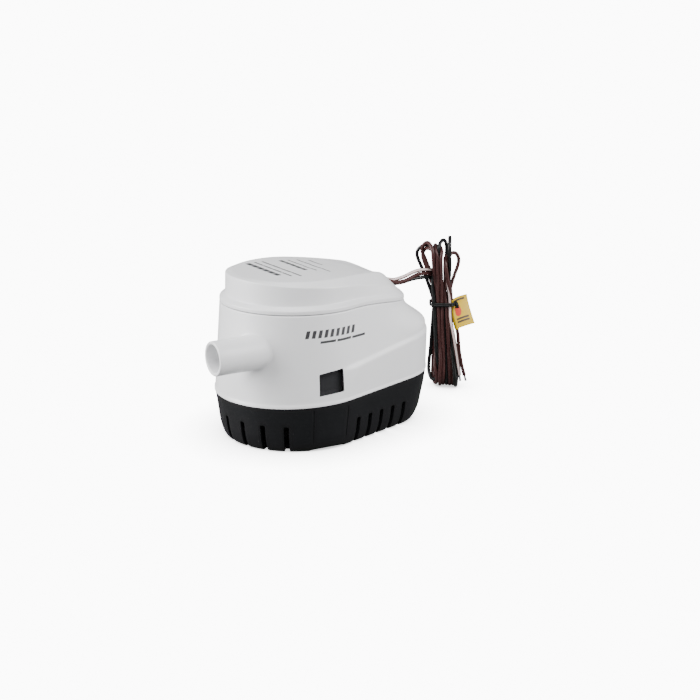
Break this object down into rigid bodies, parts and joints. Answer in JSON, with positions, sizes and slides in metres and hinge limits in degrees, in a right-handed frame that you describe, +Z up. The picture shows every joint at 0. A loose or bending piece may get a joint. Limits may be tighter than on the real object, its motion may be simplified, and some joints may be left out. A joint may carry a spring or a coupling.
{
  "type": "bilge pump",
  "caption": "Automatic submersible bilge pump: egg-shaped white motor housing with a side hose spigot, clipped on a black slotted strainer base, with tied lead wires.",
  "frame": {"origin": "on the flat underside of the strainer base, 10 mm along +X from the motor axis", "axes": "+X towards the rounded tail where the wires leave, -X the way the hose spigot points, -Y the side that the spigot is offset to, +Z up"},
  "size_m": [0.2244, 0.1, 0.105],
  "materials": {
    "white_plastic": "satin moulded",
    "black_plastic": "satin moulded",
    "grey_plastic": "plain moulded",
    "zinc_steel": "zinc plated",
    "lamination_steel": "stacked laminations",
    "enamelled_copper": "enamelled copper wire and copper segments",
    "sintered_bronze": "oil-soaked sintered bronze",
    "ferrite": "matt sintered ferrite",
    "carbon": "pressed carbon",
    "black_rubber": "moulded rubber",
    "float_plastic": "closed-cell moulded float",
    "glass": "clear glass capsule",
    "tinned_copper": "tinned strands",
    "brown_wire": "glossy PVC insulation",
    "striped_wire": "brown PVC insulation with a white stripe",
    "black_wire": "glossy PVC insulation",
    "yellow_label": "coated paper label"
  },
  "bodies": {
    "base": {"strainer_base": "black_plastic"},
    "left_latch": {"left_latch_tab": "black_plastic"},
    "right_latch": {"right_latch_tab": "black_plastic"},
    "pump": {"pump_housing": "white_plastic", "top_cap": "white_plastic", "cap_gasket": "black_rubber", "volute_cup": "grey_plastic", "motor_pod": "white_plastic", "pod_lid": "grey_plastic", "pod_o_ring": "black_rubber", "wire_gland": "black_rubber", "motor_can": "zinc_steel", "motor_end_cap": "grey_plastic", "lower_bearing": "sintered_bronze", "upper_bearing": "sintered_bronze", "shaft_seal": "black_rubber", "seal_retainer": "zinc_steel", "field_magnet_near": "ferrite", "field_magnet_far": "ferrite", "brush_near": "carbon", "brush_far": "carbon", "brush_spring_near": "zinc_steel", "brush_spring_far": "zinc_steel", "float_pivot_pin": "zinc_steel", "reed_pocket": "grey_plastic", "reed_switch": "glass", "inner_lead_brown": "brown_wire", "inner_lead_striped": "striped_wire", "inner_lead_black": "black_wire", "lead_brown": "brown_wire", "lead_striped": "striped_wire", "lead_black": "black_wire", "tail_brown": "brown_wire", "tail_striped": "striped_wire", "tail_black": "black_wire", "bare_end_brown": "tinned_copper", "bare_end_striped": "tinned_copper", "bare_end_black": "tinned_copper", "wire_hank": "brown_wire", "hank_tie": "black_wire", "cord_tag": "yellow_label"},
    "rotor": {"motor_shaft": "zinc_steel", "armature_core": "lamination_steel", "armature_windings": "enamelled_copper", "commutator": "enamelled_copper", "impeller": "black_plastic"},
    "float": {"float_body": "float_plastic", "float_magnet": "ferrite"}
  },
  "joints": [
    {"name": "left_latch_press", "type": "hinge", "parent": "base", "child": "left_latch", "pos_m": [-0.01275, -0.04141, 0.0044], "axis": [-0.9978, 0.0663, 0], "range_deg": [0, 3.5], "stiffness_Nm_per_rad": 2},
    {"name": "right_latch_press", "type": "hinge", "parent": "base", "child": "right_latch", "pos_m": [-0.01275, 0.04141, 0.0044], "axis": [0.9978, 0.0663, 0], "range_deg": [0, 3.5], "stiffness_Nm_per_rad": 2},
    {"name": "pump_lift_off", "type": "slide", "parent": "base", "child": "pump", "axis": [0, 0, 1], "range_m": [0, 0.06]},
    {"name": "rotor_spin", "type": "hinge", "parent": "pump", "child": "rotor", "pos_m": [-0.01, 0, 0.05], "axis": [0, 0, 1], "continuous": true},
    {"name": "float_swing", "type": "hinge", "parent": "pump", "child": "float", "pos_m": [0.036, 0, 0.034], "axis": [0, -1, 0], "range_deg": [0, 25]}
  ]
}
